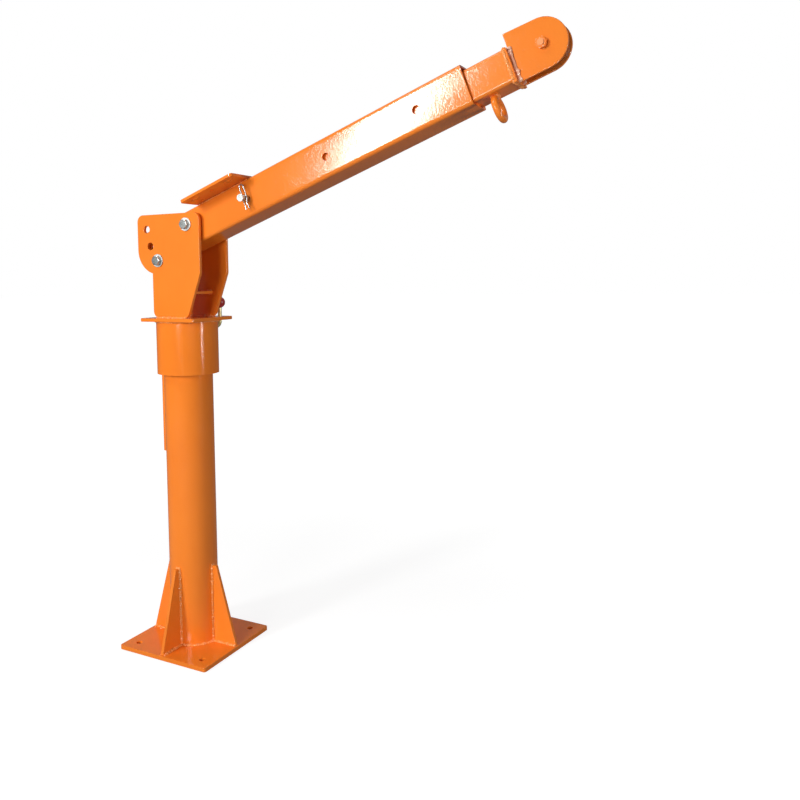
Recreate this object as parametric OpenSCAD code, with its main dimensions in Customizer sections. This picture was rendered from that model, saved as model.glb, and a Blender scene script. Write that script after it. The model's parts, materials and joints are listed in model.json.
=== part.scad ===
// Swivelling loading crane for a vehicle bed, in millimetres.
// The origin is the centre of the base plate's underside, +Z is up and the boom points along +X.
// Pieces of the boom are drawn along X from the luffing pivot and then raised into place.

/* [Base] */
// Side of the square base plate
plate_side = 252; // [230:1:320]
// Thickness of the base plate
plate_t = 10; // [6:1:16]
// Corner radius of the base plate
plate_corner_r = 6; // [2:1:12]
// Distance between neighbouring holes of the base plate
base_hole_pitch = 188; // [180:1:200]
// Diameter of the base plate's holes
base_hole_d = 14; // [10:0.5:18]
// Height of the gussets above the plate
gusset_h = 184; // [120:1:260]
// Thickness of the gussets
gusset_t = 8; // [5:1:12]
// Length of the short top edge of a gusset
gusset_top = 13; // [2:1:20]
// Distance from a gusset's foot to the edge of the plate
gusset_edge_gap = 4; // [1:1:10]
// Height of the blunt toe of a gusset
gusset_toe = 5; // [3:1:20]

/* [Mast] */
// Outer diameter of the mast tube
mast_od = 114.3; // [100:0.1:118]
// Wall of the mast tube
mast_wall = 6; // [4:0.5:8]
// Height of the mast's top above the floor
mast_top = 768; // [700:1:900]
// Thickness of the cap in the mast's top
mast_cap_t = 10; // [6:1:16]

/* [Slewing head] */
// Radial width of the gap between the mast and the sleeve, which the guide rings fill
guide_w = 6.85; // [4:0.05:10]
// Wall of the sleeve
sleeve_wall = 8; // [5:0.5:9]
// Height of the sleeve
sleeve_h = 123; // [110:1:180]
// Radial clearance of the guide rings on the mast
guide_clearance = 0.1; // [0.05:0.01:0.1]
// Height of each guide ring
guide_h = 28; // [20:1:34]
// Thickness of the thrust pad on the mast's cap
thrust_t = 6; // [4:1:10]
// Radius of the thrust pad
thrust_r = 50; // [30:1:55]
// Side of the square flange
flange_side = 155; // [146:1:180]
// Thickness of the flange
flange_t = 8; // [6:1:14]
// Corner radius of the flange
flange_corner_r = 8; // [2:1:10]

/* [Cheek plates] */
// Thickness of each cheek plate
cheek_t = 8; // [5:1:12]
// Height of the cheek plates
cheek_h = 238; // [230:1:260]
// Reach of the cheek plates in front of the mast axis
cheek_front = 84; // [78:1:100]
// Reach of the cheek plates behind the mast axis
cheek_back = 96; // [92:1:105]
// Front end of the cheek plates' foot
foot_front = 46; // [40:1:60]
// Back end of the cheek plates' foot
foot_back = 54; // [48:1:60]
// Height of the knee in the front edge
knee_h = 102; // [90:1:120]
// Radius of the bulge round the lock holes
bulge_r = 57; // [50:1:62]
// Height of the bulge's centre above the flange
bulge_h = 158; // [150:1:170]
// Radius of the cheek plates' corners
cheek_corner_r = 16; // [4:1:20]
// Height of the stiffener above the flange
stiffener_h = 54; // [40:1:60]
// Thickness of the stiffener
stiffener_t = 6; // [4:1:10]
// Front edge of the stiffener, from the mast axis
stiffener_front = 43; // [30:1:44]
// Depth of the stiffener
stiffener_depth = 84; // [50:1:88]

/* [Luffing] */
// Pivot in front of the mast axis
pivot_x = 47; // [40:1:55]
// Pivot above the flange
pivot_h = 212; // [205:1:216]
// Boom's angle above the horizontal
luff = 20; // [18:0.5:20.5]
// Step between the lock positions
luff_step = 20; // [20:0.5:22]
// Lock holes' distance behind the pivot
lock_reach = 115; // [112:1:120]
// Diameter of the pivot and lock bolts
bolt_d = 16; // [12:1:16]
// Width across the flats of those bolts' heads
bolt_head_af = 20; // [18:0.5:24]
// Diameter of the holes for those bolts
bolt_hole_d = 17; // [16.5:0.5:18]
// Radial clearance of a turning piece on its bolt
bush_clearance = 0.05; // [0.02:0.01:0.1]
// Outer diameter of the bush in the boom
pivot_bush_od = 26; // [22:1:30]
// Gap between the boom's side and a cheek plate
side_gap = 6; // [3:0.5:8]
// Outer diameter of the washers
washer_od = 30; // [26:1:32]
// Thickness of the washers
washer_t = 3; // [2:0.5:4]

/* [Outer boom] */
// Side of the outer boom's square tube
outer_w = 80; // [76:1:84]
// Wall of the outer boom
outer_wall = 5; // [3:0.5:5.5]
// Corner radius of the outer boom
outer_r = 8; // [7:1:10]
// Outer boom's length in front of the pivot
outer_reach = 695; // [650:1:900]
// Outer boom's length behind its lock hole
tail_margin = 22; // [16:1:26]
// Drop of the boom's centre line below the pivot
boom_drop = 7.5; // [6:0.5:8]
// Depth of the relief for the parked lock bolt
relief_depth = 11.5; // [11:0.5:13]
// Front end of that relief, behind the pivot
relief_start = 90; // [88:1:93]
// First extension hole, in front of the pivot
ext_first = 165; // [155:1:172]
// Distance between the extension holes
ext_pitch = 212; // [180:1:240]
// Number of extension holes
ext_holes = 3; // [2:1:3]

/* [Winch plate] */
// Length of the winch plate along the boom
winch_l = 148; // [120:1:180]
// Width of the winch plate across the boom
winch_w = 196; // [180:1:220]
// Thickness of the winch plate
winch_t = 6; // [4:1:10]
// Back edge of the winch plate, in front of the pivot
winch_start = 35; // [33:1:60]
// Corner radius of the winch plate
winch_corner_r = 7; // [4:1:14]
// Length of the slots in the winch plate
winch_slot_l = 22; // [16:1:28]
// Width of those slots
winch_slot_w = 9; // [7:0.5:11]
// Slots' distance from the boom's centre line
winch_slot_y = 75; // [68:1:80]
// Distance between the slots of a pair
winch_slot_pitch = 95; // [80:1:104]

/* [Inner boom] */
// Gap between the inner boom and each wall of the outer boom
slide_gap = 3; // [1:0.5:5]
// Wall of the inner boom
inner_wall = 4; // [3:0.5:5]
// Corner radius of the inner boom
inner_r = 6; // [5:1:8]
// Inner boom's length outside the outer boom, drawn in
inner_out = 81; // [60:1:265]
// Inner boom's tail behind the extension pin
inner_tail = 26; // [20:1:32]
// Diameter of the extension pin
ext_pin_d = 16; // [12:1:16]
// Diameter of the pin holes
ext_hole_d = 17; // [16.5:0.5:18]
// Length of the extension pin outside the boom's near side
ext_pin_out = 24; // [20:1:30]
// Thickness of the retaining clip's wire
clip_d = 3.2; // [2:0.2:4]
// Clip's distance from the boom's side
clip_out = 13; // [10:1:16]
// Length of the clip's straight leg
clip_leg = 26; // [20:1:32]

/* [Boom head] */
// Thickness of the head's end plate
end_plate_t = 6; // [5:1:12]
// Thickness of each head cheek
head_cheek_t = 6; // [4:1:9]
// Gap between the head cheeks
head_gap = 24; // [22:1:30]
// Radius of the head cheeks' nose
head_r = 46.5; // [44:0.5:52]
// Sheave axis in front of the end plate
head_axis = 59.5; // [48:0.5:62]
// Height of the sheave axis above the pivot line
head_rise = 1.5; // [-2:0.5:4]
// Height of the head cheeks' back corner above the sheave axis
head_back_h = 50; // [47:0.5:54]
// Sheave's outer radius
sheave_r = 39; // [30:1:41]
// Sheave's width
sheave_w = 20; // [16:1:21]
// Radius of the rope that the sheave's groove takes
rope_r = 3.5; // [2:0.5:4]
// Depth of the sheave's groove
groove_depth = 8; // [5:0.5:9]
// Diameter of the sheave bolt
sheave_bolt_d = 12; // [10:1:16]
// Outer diameter of the sheave's bush
sheave_bush_od = 22; // [19:1:24]
// Length of the sheave's bush
sheave_bush_l = 22; // [21:0.5:22]
// Width across the flats of the sheave nut
sheave_nut_af = 19; // [18:1:24]
// Eye's distance behind the inner boom's end
eye_back = 48; // [30:1:60]
// Outer diameter of the eye ring
eye_od = 56; // [48:1:64]
// Thickness of the eye ring's rod
eye_rod = 13; // [8:1:14]

/* [Slewing lock and handle] */
// Lock screw's axis below the flange's top
lock_below = 28; // [26:1:32]
// Diameter of the lock screw
lock_screw_d = 12; // [8:1:14]
// Outer diameter of the boss
lock_boss_d = 24; // [20:1:26]
// Length of the boss outside the sleeve
lock_boss_l = 18; // [12:1:26]
// Diameter of the lever's rod
lever_d = 10; // [6:0.5:12]
// Lever's upright, from the mast axis
lever_reach = 127; // [122:1:160]
// Bend radius of the lever
lever_bend = 14; // [8:1:20]
// Height of the ball's centre above the lock screw
lever_rise = 58; // [46:1:70]
// Diameter of the lever's ball
ball_d = 28; // [18:1:32]
// Outer diameter of the slewing handle's pipe
handle_od = 20; // [18:0.1:26]
// Wall of the slewing handle's pipe
handle_wall = 2.5; // [1.5:0.5:4]
// Handle's axis behind the mast axis
handle_back = 93; // [92:1:105]
// Angle of the handle round the mast, away from straight back
handle_turn = 15; // [0:1:30]
// Hinge of the handle above the sleeve's lower edge
handle_hinge_h = 55; // [45:1:70]
// Handle's length below its hinge
handle_l = 254; // [180:1:300]
// Handle's length above its hinge
handle_top = 12; // [11:1:16]
// Diameter of the handle's bolt
handle_bolt_d = 8; // [6:1:10]
// Thickness of each ear of the lug
ear_t = 5; // [4:1:8]
// Gap between the handle and an ear
ear_gap = 0.4; // [0.3:0.1:2]

/* [Hidden] */
$fn = 64;

paint = "#f98a2e";
zinc = "#c4c8cc";
yellow_zinc = "#d8b54a";
bronze = "#b88a3c";
nylon = "#e8e4d8";
red = "#b5201c";
// Small overlap that keeps a cut clear of the face it passes
cut = 1;

mast_r = mast_od / 2;
sleeve_bore_r = mast_r + guide_w;
sleeve_r = sleeve_bore_r + sleeve_wall;
sleeve_top = mast_top + thrust_t;
sleeve_bottom = sleeve_top - sleeve_h;
flange_top = sleeve_top + flange_t;
pivot_z = flange_top + pivot_h;
outer_tail = lock_reach + tail_margin;
cheek_inner = outer_w / 2 + side_gap;
inner_w = outer_w - 2 * outer_wall - 2 * slide_gap;
inner_end = outer_reach + inner_out;
cheek_outer = cheek_inner + cheek_t;
washer_outer = cheek_outer + washer_t;
lock_angle = atan(boom_drop / lock_reach);
lock_r = norm([lock_reach, boom_drop]);
lock_positions = [luff - luff_step, luff, luff + luff_step];
parked_position = luff + luff_step;
bolt_head_h = bolt_d * 0.5;
bolt_nut_h = bolt_d * 0.8;
bolt_af = bolt_d * 1.5;
inner_v = -boom_drop - slide_gap;
head_s = inner_end + end_plate_t;
head_axis_s = head_s + head_axis;
head_outer = head_gap / 2 + head_cheek_t;
lock_z = flange_top - lock_below;
handle_z = sleeve_bottom + handle_hinge_h;
handle_r = handle_od / 2;
ear_inner = handle_r + ear_gap;
ear_outer = ear_inner + ear_t;
ear_r = handle_top;

// Rectangle with true round corners, centred
module round_rect(w, h, r) {
    square([w - 2 * r, h], center = true);
    square([w, h - 2 * r], center = true);
    for (x = [-1, 1], y = [-1, 1])
        translate([x * (w / 2 - r), y * (h / 2 - r)]) circle(r);
}

// Square tube along +X from x0 to x1, centred on the X axis
module square_tube(x0, x1, w, wall, r) {
    translate([x0, 0, 0]) rotate([90, 0, 90]) linear_extrude(x1 - x0) difference() {
        round_rect(w, w, r);
        round_rect(w - 2 * wall, w - 2 * wall, r - wall + 0.5);
    }
}

// Round bar along Y between y0 and y1
module bar_y(r, y0, y1) {
    translate([0, y1, 0]) rotate([90, 0, 0]) cylinder(r = r, h = y1 - y0);
}

// Flat disc with a bore, along Y between y0 and y1
module ring_y(r, bore_r, y0, y1) {
    difference() {
        bar_y(r, y0, y1);
        bar_y(bore_r, y0 - cut, y1 + cut);
    }
}

// Hexagon along Y between y0 and y1, by the width across its flats. Its corners are
// chamfered at the y0 end, and at the y1 end if both is true
module hex_y(af, y0, y1, both = false) {
    h = y1 - y0;
    face_r = af * 0.48;
    corner_r = af / cos(30) / 2 + 0.1;
    c = (corner_r - face_r) * tan(30);
    translate([0, y1, 0]) rotate([90, 0, 0]) intersection() {
        cylinder(d = af / cos(30), h = h, $fn = 6);
        rotate_extrude($fn = 96)
            polygon([[0, 0], [both ? face_r : corner_r, 0], [corner_r, both ? c : 0], [corner_r, h - c], [face_r, h], [0, h]]);
    }
}

// Bolt along Y with its head at the -Y side, under the head from y0 to the tip at y1.
// Its shank starts inside the head
module bolt_y(d, y0, y1, af, head_h) {
    bar_y(d / 2, y0 - head_h / 2, y1);
    hex_y(af, y0 - head_h, y0);
}

// Hexagonal nut along Y between y0 and y1
module nut_y(d, af, y0, y1) {
    difference() {
        hex_y(af, y0, y1, true);
        bar_y(d / 2 + 0.01, y0 - cut, y1 + cut);
    }
}

// Places what follows in the boom's frame, whose origin is the pivot
module at_boom() {
    translate([pivot_x, 0, pivot_z]) rotate([0, -luff, 0]) children();
}

// Turns what follows round the mast to the handle's side
module at_handle() {
    rotate([0, 0, -handle_turn]) children();
}

// Places what follows at the lock hole for one boom angle
module at_lock(angle) {
    translate([pivot_x - lock_r * cos(angle + lock_angle), 0,
               pivot_z - lock_r * sin(angle + lock_angle)]) children();
}

module base_plate() {
    color(paint) difference() {
        linear_extrude(plate_t) round_rect(plate_side, plate_side, plate_corner_r);
        for (x = [-1, 1], y = [-1, 1])
            translate([x * base_hole_pitch / 2, y * base_hole_pitch / 2, -cut])
                cylinder(d = base_hole_d, h = plate_t + 2 * cut);
    }
}

module base_gussets() {
    toe = plate_side / 2 - gusset_edge_gap;
    color(paint) for (a = [0 : 90 : 270]) rotate([0, 0, a]) difference() {
        translate([0, gusset_t / 2, plate_t]) rotate([90, 0, 0]) linear_extrude(gusset_t)
            polygon([[mast_r - 2, 0], [toe, 0], [toe, gusset_toe],
                     [mast_r + gusset_top, gusset_h], [mast_r - 2, gusset_h]]);
        cylinder(r = mast_r, h = plate_t + gusset_h + cut);
    }
}

module mast_tube() {
    color(paint) translate([0, 0, plate_t]) difference() {
        cylinder(r = mast_r, h = mast_top - plate_t);
        translate([0, 0, -cut]) cylinder(r = mast_r - mast_wall, h = mast_top - plate_t + 2 * cut);
    }
}

module mast_cap() {
    color(paint) translate([0, 0, mast_top - mast_cap_t])
        cylinder(r = mast_r - mast_wall, h = mast_cap_t);
}

module thrust_pad() {
    color(bronze) translate([0, 0, mast_top]) cylinder(r = thrust_r, h = thrust_t);
}

module sleeve() {
    color(paint) difference() {
        translate([0, 0, sleeve_bottom]) cylinder(r = sleeve_r, h = sleeve_h);
        translate([0, 0, sleeve_bottom - cut]) cylinder(r = sleeve_bore_r, h = sleeve_h + 2 * cut);
        translate([0, 0, lock_z]) bar_y(lock_screw_d / 2 + bush_clearance, 0, sleeve_r + cut);
    }
}

module guide_rings() {
    upper = lock_z - lock_boss_d / 2 - guide_h - 1;
    color(nylon) for (z = [sleeve_bottom, upper]) translate([0, 0, z]) difference() {
        cylinder(r = sleeve_bore_r, h = guide_h);
        translate([0, 0, -cut]) cylinder(r = mast_r + guide_clearance, h = guide_h + 2 * cut);
    }
}

module sleeve_flange() {
    color(paint) translate([0, 0, sleeve_top])
        linear_extrude(flange_t) round_rect(flange_side, flange_side, flange_corner_r);
}

// Outline of a cheek plate, with X forward and Y up from the flange
module cheek_outline() {
    offset(r = cheek_corner_r, $fn = 40) offset(delta = -cheek_corner_r) union() {
        polygon([[-foot_back, 0], [foot_front, 0], [cheek_front, knee_h], [cheek_front, cheek_h],
                 [-cheek_back, cheek_h], [-cheek_back, bulge_h], [-foot_back, bulge_h]]);
        translate([bulge_r - cheek_back, bulge_h]) circle(bulge_r, $fn = 96);
    }
}

// Cheek plate between y0 and y0 + cheek_t
module cheek_plate(y0) {
    color(paint) difference() {
        translate([0, y0 + cheek_t, flange_top]) rotate([90, 0, 0])
            linear_extrude(cheek_t) cheek_outline();
        translate([pivot_x, 0, pivot_z]) bar_y(bolt_hole_d / 2, y0 - cut, y0 + cheek_t + cut);
        for (a = lock_positions)
            at_lock(a) bar_y(bolt_hole_d / 2, y0 - cut, y0 + cheek_t + cut);
    }
}

module cheek_plate_near() {
    cheek_plate(-cheek_outer);
}

module cheek_plate_far() {
    cheek_plate(cheek_inner);
}

module cheek_stiffener() {
    color(paint) translate([stiffener_front - stiffener_depth, -cheek_inner, flange_top + stiffener_h])
        cube([stiffener_depth, 2 * cheek_inner, stiffener_t]);
}

module pivot_bolt() {
    color(zinc) translate([pivot_x, 0, pivot_z])
        bolt_y(bolt_d, -washer_outer, washer_outer + bolt_nut_h + 5, bolt_head_af, bolt_head_h);
}

// A washer outside each cheek plate
module washer_pair() {
    for (y0 = [-washer_outer, cheek_outer]) ring_y(washer_od / 2, bolt_d / 2 + 0.2, y0, y0 + washer_t);
}

module pivot_washers() {
    color(zinc) translate([pivot_x, 0, pivot_z]) washer_pair();
}

module pivot_spacers() {
    color(zinc) translate([pivot_x, 0, pivot_z]) for (y0 = [-cheek_inner, outer_w / 2])
        ring_y(washer_od / 2, bolt_d / 2 + bush_clearance, y0, y0 + side_gap);
}

module pivot_nut() {
    color(zinc) translate([pivot_x, 0, pivot_z])
        nut_y(bolt_d, bolt_af, washer_outer, washer_outer + bolt_nut_h);
}

module luff_lock_bolt() {
    color(zinc) at_lock(parked_position)
        bolt_y(bolt_d, -washer_outer, washer_outer + bolt_nut_h + 5, bolt_head_af, bolt_head_h);
}

module luff_lock_washers() {
    color(zinc) at_lock(parked_position) washer_pair();
}

module luff_lock_nut() {
    color(zinc) at_lock(parked_position)
        nut_y(bolt_d, bolt_af, washer_outer, washer_outer + bolt_nut_h);
}

module lock_boss() {
    color(paint) translate([0, 0, lock_z]) difference() {
        bar_y(lock_boss_d / 2, sleeve_r - sleeve_wall / 2, sleeve_r + lock_boss_l);
        bar_y(lock_screw_d / 2 + bush_clearance, 0, sleeve_r + lock_boss_l + cut);
        translate([0, 0, -lock_boss_d]) cylinder(r = sleeve_r, h = 2 * lock_boss_d);
    }
}

module handle_lug() {
    color(paint) at_handle() difference() {
        for (y0 = [-ear_outer, ear_inner]) {
            translate([-handle_back, 0, handle_z]) bar_y(ear_r, y0, y0 + ear_t);
            translate([-handle_back, y0, handle_z - ear_r]) cube([handle_back - sleeve_bore_r, ear_t, 2 * ear_r]);
        }
        translate([0, 0, sleeve_bottom]) cylinder(r = sleeve_r, h = sleeve_h);
        translate([-handle_back, 0, handle_z])
            bar_y(handle_bolt_d / 2 + bush_clearance, -ear_outer - cut, ear_outer + cut);
    }
}

module handle_bolt() {
    color(zinc) at_handle() translate([-handle_back, 0, handle_z])
        bolt_y(handle_bolt_d, -ear_outer, ear_outer + handle_bolt_d, handle_bolt_d * 1.6, handle_bolt_d * 0.6);
}

module handle_nut() {
    color(zinc) at_handle() translate([-handle_back, 0, handle_z])
        nut_y(handle_bolt_d, handle_bolt_d * 1.6, ear_outer, ear_outer + handle_bolt_d * 0.8);
}

// The screw runs in from the boss to the mast, and its end is bent up into a lever
module lock_screw() {
    straight = lever_reach - lever_bend;
    thread_end = sleeve_r + lock_boss_l + 6;
    color(yellow_zinc) translate([0, 0, lock_z]) {
        bar_y(lock_screw_d / 2, mast_r + 0.3, thread_end);
        bar_y(lever_d / 2, thread_end - cut, straight);
        translate([0, straight, lever_bend]) rotate([0, -90, 0]) rotate([0, 0, 0])
            rotate([0, 0, 180]) rotate_extrude(angle = -90) translate([lever_bend, 0]) circle(lever_d / 2);
        translate([0, lever_reach, lever_bend]) cylinder(r = lever_d / 2, h = lever_rise - lever_bend - ball_d / 4);
    }
}

module lever_ball() {
    stem_top = lock_z + lever_rise - ball_d / 4;
    color(red) difference() {
        translate([0, lever_reach, lock_z + lever_rise]) sphere(d = ball_d);
        translate([0, lever_reach, stem_top - ball_d]) cylinder(r = lever_d / 2, h = ball_d);
    }
}

module slew_handle() {
    color(paint) at_handle() translate([-handle_back, 0, handle_z]) difference() {
        translate([0, 0, -handle_l]) cylinder(r = handle_r, h = handle_l + handle_top);
        translate([0, 0, -handle_l - cut]) cylinder(r = handle_r - handle_wall, h = handle_l + handle_top + 2 * cut);
        bar_y(handle_bolt_d / 2 + bush_clearance, -handle_od, handle_od);
    }
}

module handle_end_caps() {
    cap_l = 4;
    color(paint) at_handle() for (z = [handle_z - handle_l, handle_z + handle_top - cap_l])
        translate([-handle_back, 0, z]) cylinder(r = handle_r - handle_wall, h = cap_l);
}

module outer_boom() {
    color(paint) at_boom() difference() {
        translate([0, 0, -boom_drop]) square_tube(-outer_tail, outer_reach, outer_w, outer_wall, outer_r);
        bar_y(pivot_bush_od / 2, -outer_w, outer_w);
        translate([-lock_reach, 0, -boom_drop]) bar_y(bolt_hole_d / 2, -outer_w, outer_w);
        for (i = [0 : ext_holes - 1]) translate([ext_first + i * ext_pitch, 0, -boom_drop])
            bar_y(ext_hole_d / 2, -outer_w, outer_w);
        translate([-outer_tail - cut, -outer_w, -boom_drop - outer_w / 2 - cut])
            cube([outer_tail + cut - relief_start, 2 * outer_w, relief_depth + cut]);
    }
}

module pivot_bush() {
    color(zinc) at_boom() ring_y(pivot_bush_od / 2, bolt_d / 2 + bush_clearance, -outer_w / 2, outer_w / 2);
}

// Slot outline with round ends, along X
module slot(l, w) {
    square([l - w, w], center = true);
    for (x = [-1, 1]) translate([x * (l - w) / 2, 0]) circle(d = w, $fn = 32);
}

module winch_plate() {
    hole_d = 9;
    centre = winch_start + winch_l / 2;
    color(paint) at_boom() translate([centre, 0, outer_w / 2 - boom_drop]) linear_extrude(winch_t) difference() {
        round_rect(winch_l, winch_w, winch_corner_r);
        for (x = [-1, 1]) {
            translate([x * winch_slot_pitch / 2, -winch_slot_y]) slot(winch_slot_l, winch_slot_w);
            translate([x * winch_slot_pitch / 2, winch_slot_y]) rotate(90) slot(winch_slot_l, winch_slot_w);
        }
        for (y = [-1, 1]) translate([0, y * winch_slot_y]) circle(d = hole_d);
        for (x = [-1, 1]) translate([x * winch_slot_pitch / 2, (outer_w / 2 + hole_d) * x]) circle(d = hole_d);
    }
}

module extension_pin() {
    near_end = outer_w / 2 + ext_pin_out;
    head_l = 6;
    clip_y = outer_w / 2 + clip_out;
    color(zinc) at_boom() translate([ext_first, 0, -boom_drop]) difference() {
        union() {
            bar_y(ext_pin_d / 2, -near_end, outer_w / 2 + head_l);
            bar_y(ext_pin_d * 0.8, outer_w / 2, outer_w / 2 + head_l);
        }
        translate([0, -clip_y, -ext_pin_d]) cylinder(d = clip_d + 0.2, h = 2 * ext_pin_d);
    }
}

// Round wire from point to point in the XZ plane
module wire(points, d) {
    for (i = [0 : len(points) - 2]) hull() for (p = [points[i], points[i + 1]])
        translate([p[0], 0, p[1]]) sphere(d = d, $fn = 10);
}

module extension_clip() {
    side = ext_pin_d / 2 + clip_d / 2 + 0.4;
    clip_y = outer_w / 2 + clip_out;
    loop_r = side / 2;
    loop_v = 22;
    leg = [[0, -clip_leg]];
    loop = [for (a = [180 : -22.5 : 0]) [side / 2 + loop_r * cos(a), loop_v + 1.4 * loop_r * sin(a)]];
    spring = [[side, 7], [side, -5], [side * 0.45, -14], [side * 0.9, -clip_leg - 1]];
    color(zinc) at_boom() translate([ext_first, -clip_y, -boom_drop]) wire(concat(leg, loop, spring), clip_d);
}

module inner_boom() {
    tail = ext_first - inner_tail;
    color(paint) at_boom() difference() {
        translate([0, 0, inner_v]) square_tube(tail, inner_end, inner_w, inner_wall, inner_r);
        translate([ext_first, 0, -boom_drop]) bar_y(ext_hole_d / 2, -inner_w, inner_w);
        translate([tail - cut, -inner_w, -boom_drop - ext_hole_d / 2])
            cube([inner_tail + cut, 2 * inner_w, ext_hole_d]);
    }
}

module head_end_plate() {
    below = head_r - head_rise;
    above = inner_v + inner_w / 2 + 1;
    color(paint) at_boom() translate([inner_end, -inner_w / 2 - 1, -below])
        cube([end_plate_t, inner_w + 2, below + above]);
}

// Outline of a head cheek, from its back edge to its round nose. Its top edge runs
// from the back corner to where it touches the nose
module head_outline() {
    corner = [0, head_back_h];
    axis = [head_axis, 0];
    side = corner - axis;
    turn = atan2(side[1], side[0]) - acos(head_r / norm(side));
    touch = axis + head_r * [cos(turn), sin(turn)];
    polygon([[0, -head_r], [head_axis, -head_r], axis, touch, corner]);
    translate(axis) circle(head_r, $fn = 96);
}

// Head cheek between y0 and y0 + head_cheek_t
module head_cheek(y0) {
    color(paint) at_boom() difference() {
        translate([head_s, y0 + head_cheek_t, head_rise]) rotate([90, 0, 0])
            linear_extrude(head_cheek_t) head_outline();
        translate([head_axis_s, 0, head_rise]) bar_y(sheave_bolt_d / 2 + bush_clearance, y0 - cut, y0 + head_cheek_t + cut);
    }
}

module head_cheek_near() {
    head_cheek(-head_outer);
}

module head_cheek_far() {
    head_cheek(head_gap / 2);
}

module eye_ring() {
    ring_r = (eye_od - eye_rod) / 2;
    bite = eye_rod / 4;
    color(paint) at_boom() difference() {
        translate([inner_end - eye_back, 0, inner_v - inner_w / 2 - ring_r - eye_rod / 2 + bite]) rotate([0, 90, 0])
            rotate_extrude($fn = 48) translate([ring_r, 0]) circle(eye_rod / 2, $fn = 24);
        translate([inner_end - eye_back - eye_rod, -inner_w / 2, inner_v - inner_w / 2])
            cube([2 * eye_rod, inner_w, inner_w]);
    }
}

// The bolt's head is at the far side and its nut at the near side
module sheave_bolt() {
    color(paint) at_boom() translate([head_axis_s, 0, head_rise]) mirror([0, 1, 0])
        bolt_y(sheave_bolt_d, -head_outer, head_outer + sheave_bolt_d * 0.8 + 2, sheave_nut_af, sheave_bolt_d * 0.6);
}

module sheave_nut() {
    color(paint) at_boom() translate([head_axis_s, 0, head_rise])
        nut_y(sheave_bolt_d, sheave_nut_af, -head_outer - sheave_bolt_d * 0.8, -head_outer);
}

module sheave_spacers() {
    color(zinc) at_boom() translate([head_axis_s, 0, head_rise]) for (y0 = [-head_gap / 2, sheave_bush_l / 2])
        ring_y(sheave_bush_od / 2 - 1, sheave_bolt_d / 2 + bush_clearance, y0, y0 + (head_gap - sheave_bush_l) / 2);
}

module sheave() {
    hub_r = sheave_bush_od / 2;
    floor_r = sheave_r - groove_depth;
    half = sheave_w / 2;
    web = half - 4;
    color(zinc) at_boom() translate([head_axis_s, 0, head_rise]) rotate([90, 0, 0]) difference() {
        rotate_extrude($fn = 96) difference() {
            polygon([[hub_r, -half], [hub_r + 5, -half], [hub_r + 7, -web], [floor_r - 5, -web], [floor_r - 3, -half],
                     [sheave_r, -half], [sheave_r, half], [floor_r - 3, half], [floor_r - 5, web],
                     [hub_r + 7, web], [hub_r + 5, half], [hub_r, half]]);
            translate([floor_r + rope_r, 0]) circle(rope_r, $fn = 32);
            polygon([[floor_r + rope_r, -rope_r], [sheave_r + cut, -half + 1.5],
                     [sheave_r + cut, half - 1.5], [floor_r + rope_r, rope_r]]);
        }
    }
}

module sheave_bush() {
    color(bronze) at_boom() translate([head_axis_s, 0, head_rise])
        ring_y(sheave_bush_od / 2, sheave_bolt_d / 2 + bush_clearance, -sheave_bush_l / 2, sheave_bush_l / 2);
}

base_plate();
base_gussets();
mast_tube();
mast_cap();
thrust_pad();
sleeve();
guide_rings();
sleeve_flange();
cheek_plate_near();
cheek_plate_far();
cheek_stiffener();
pivot_bolt();
pivot_washers();
pivot_spacers();
pivot_nut();
luff_lock_bolt();
luff_lock_washers();
luff_lock_nut();
lock_boss();
handle_lug();
handle_bolt();
handle_nut();
lock_screw();
lever_ball();
slew_handle();
handle_end_caps();
outer_boom();
pivot_bush();
winch_plate();
extension_pin();
extension_clip();
inner_boom();
head_end_plate();
head_cheek_near();
head_cheek_far();
eye_ring();
sheave_bolt();
sheave_nut();
sheave_spacers();
sheave();
sheave_bush();
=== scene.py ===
"""Looks of a swivelling loading crane: painted and plated finishes, weld beads, wire and studio."""

import json
import logging
import math
from dataclasses import dataclass
from enum import Enum
from typing import Any, Iterable, Sequence

import bmesh
import bpy
from mathutils import Matrix, Vector


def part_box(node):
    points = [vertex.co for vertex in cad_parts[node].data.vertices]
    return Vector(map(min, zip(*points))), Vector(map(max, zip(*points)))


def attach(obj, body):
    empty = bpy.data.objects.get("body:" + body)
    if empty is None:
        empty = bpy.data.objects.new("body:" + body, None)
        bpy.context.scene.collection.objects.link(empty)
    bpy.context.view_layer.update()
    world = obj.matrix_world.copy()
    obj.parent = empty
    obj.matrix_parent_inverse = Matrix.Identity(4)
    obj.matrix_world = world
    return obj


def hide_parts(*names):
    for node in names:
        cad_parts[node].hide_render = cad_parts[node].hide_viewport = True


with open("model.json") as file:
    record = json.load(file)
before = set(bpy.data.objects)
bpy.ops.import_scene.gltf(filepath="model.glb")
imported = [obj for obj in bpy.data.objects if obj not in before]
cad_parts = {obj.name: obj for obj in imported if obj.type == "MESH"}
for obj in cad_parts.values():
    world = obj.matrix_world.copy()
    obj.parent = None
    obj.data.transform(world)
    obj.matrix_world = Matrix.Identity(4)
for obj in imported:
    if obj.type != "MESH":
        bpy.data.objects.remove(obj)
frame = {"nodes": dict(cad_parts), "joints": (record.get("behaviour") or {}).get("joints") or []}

log = logging.getLogger("crane")
MM = 0.001
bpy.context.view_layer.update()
Point = tuple[float, float, float]
Colour = tuple[float, float, float]


class Body(str, Enum):
    """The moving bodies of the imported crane."""

    BASE = "mast_base"
    HEAD = "slewing_head"
    LEVER = "lock_lever"
    HANDLE = "handle"
    BOOM = "boom"
    EXTENSION = "extension"
    SHEAVE = "sheave_wheel"


class Slot(str, Enum):
    """Names of the record's material slots, handed along with new pieces."""

    PAINT = "orange_paint"
    ZINC = "zinc_plate"
    YELLOW = "yellow_zinc"
    RED = "red_knob"


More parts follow.
